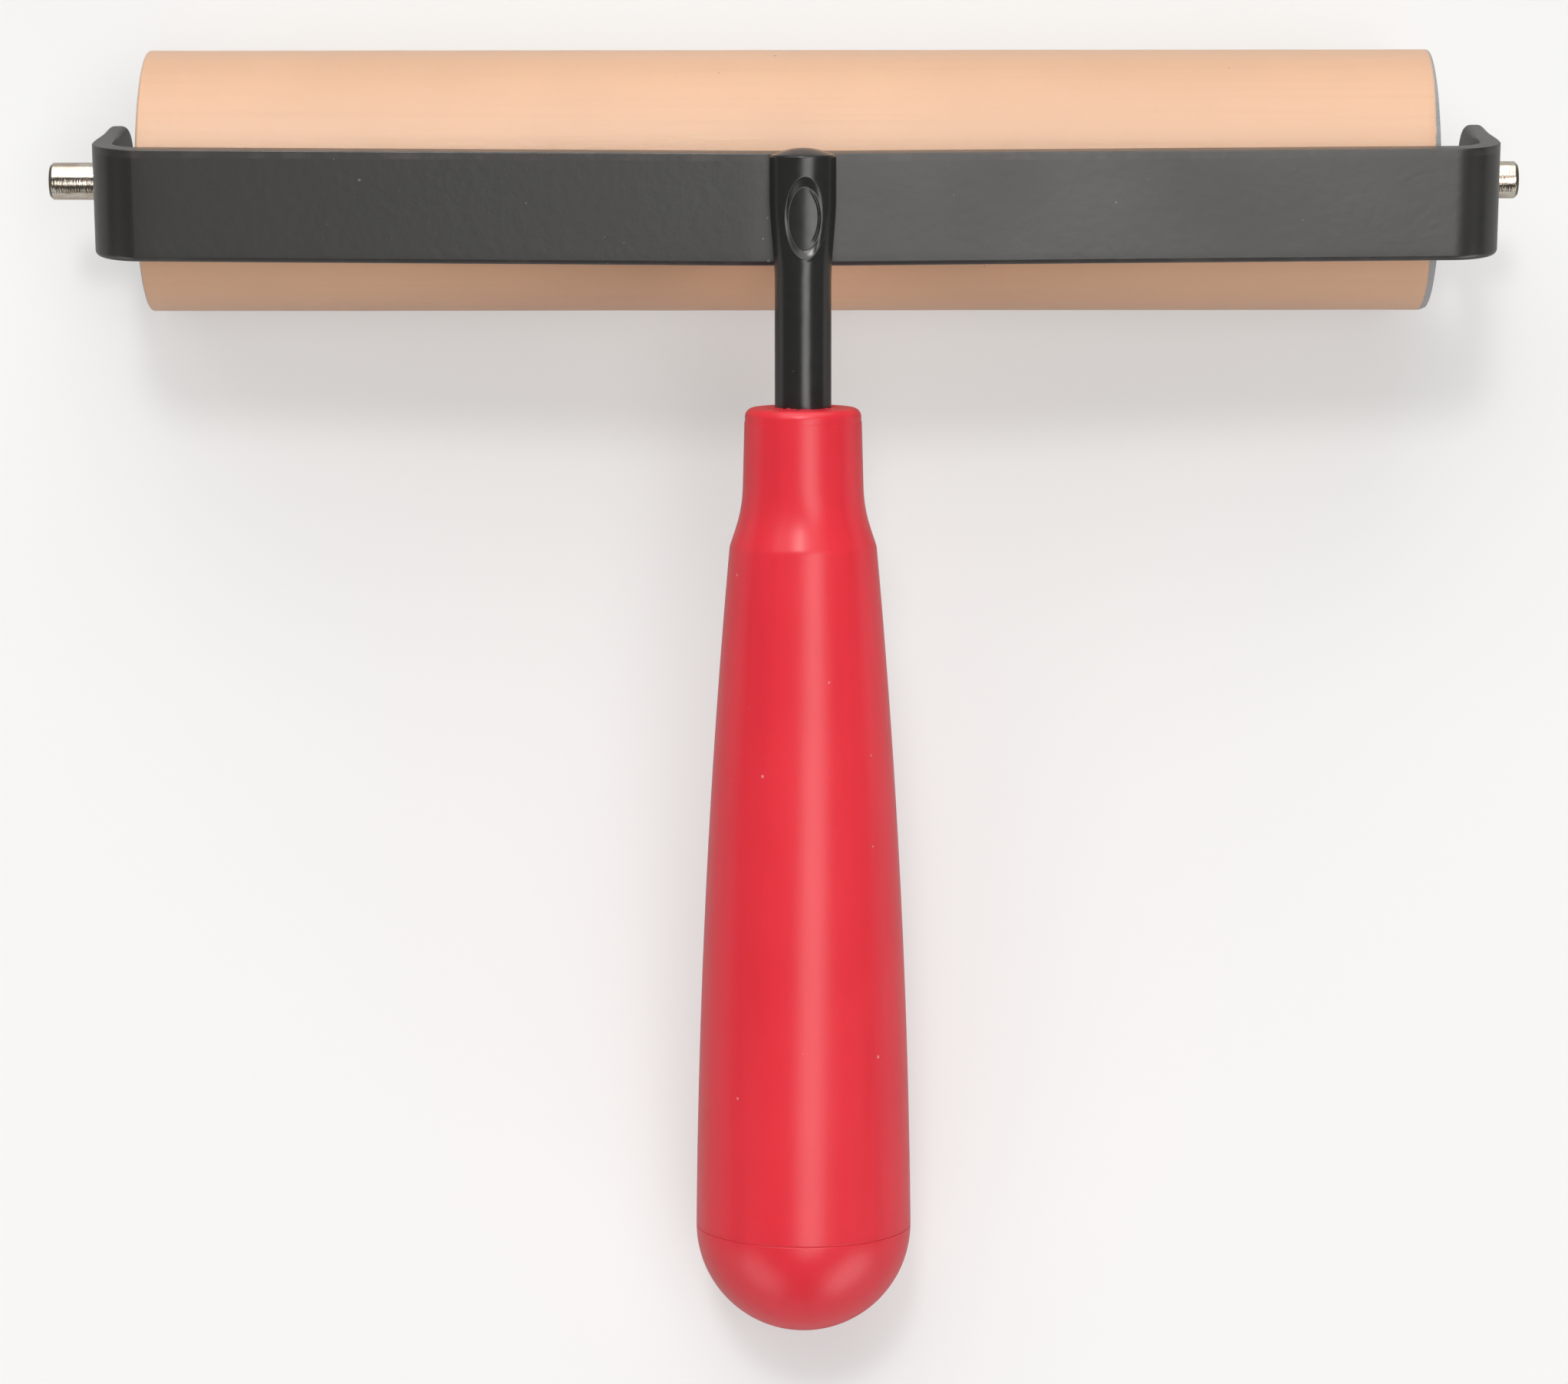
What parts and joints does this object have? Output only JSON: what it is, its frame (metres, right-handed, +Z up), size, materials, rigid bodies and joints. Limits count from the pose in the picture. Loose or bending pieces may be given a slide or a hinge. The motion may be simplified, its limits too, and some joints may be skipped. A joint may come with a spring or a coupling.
{
  "type": "rubber brayer",
  "caption": "Wide soft rubber roller that spins on a fixed steel axle between the arms of a bent black strap, with a round shank and a long red plastic handle.",
  "frame": {"origin": "centre of the roller, on its axis, half way along its length", "axes": "+X along the roller and its axle, +Z up from the table that the brayer rests on with its roller and the butt of its handle, handle towards -Y"},
  "size_m": [0.2339, 0.2027, 0.058],
  "materials": {
    "gum_rubber": "soft tan gum rubber, ground matt with a faint sheen",
    "core_tube": "drawn tube",
    "plug_plastic": "moulded natural nylon",
    "bush_bronze": "sintered bronze, oiled",
    "washer_plastic": "stamped nylon",
    "axle_steel": "bright plated steel, lightly scratched",
    "black_coat": "semi-gloss black powder coat with slight orange peel",
    "shank_coat": "gloss black paint",
    "red_plastic": "moulded red plastic, satin gloss",
    "spring_steel": "oil-blackened spring steel"
  },
  "bodies": {
    "frame": {"yoke": "black_coat", "shank": "shank_coat", "axle": "axle_steel", "handle_grip": "red_plastic", "handle_cap": "red_plastic", "tang_retainer": "spring_steel"},
    "roller": {"rubber_sleeve": "gum_rubber", "roller_core": "core_tube", "left_end_plug": "plug_plastic", "right_end_plug": "plug_plastic", "left_bush": "bush_bronze", "right_bush": "bush_bronze"},
    "left_washer": {"left_thrust_washer": "washer_plastic"},
    "right_washer": {"right_thrust_washer": "washer_plastic"}
  },
  "joints": [
    {"name": "roller_spin", "type": "hinge", "parent": "frame", "child": "roller", "pos_m": [0, 0, 0], "axis": [1, 0, 0], "continuous": true},
    {"name": "left_washer_spin", "type": "hinge", "parent": "frame", "child": "left_washer", "pos_m": [-0.1045, 0, 0], "axis": [1, 0, 0], "continuous": true},
    {"name": "right_washer_spin", "type": "hinge", "parent": "frame", "child": "right_washer", "pos_m": [0.1045, 0, 0], "axis": [1, 0, 0], "continuous": true}
  ]
}
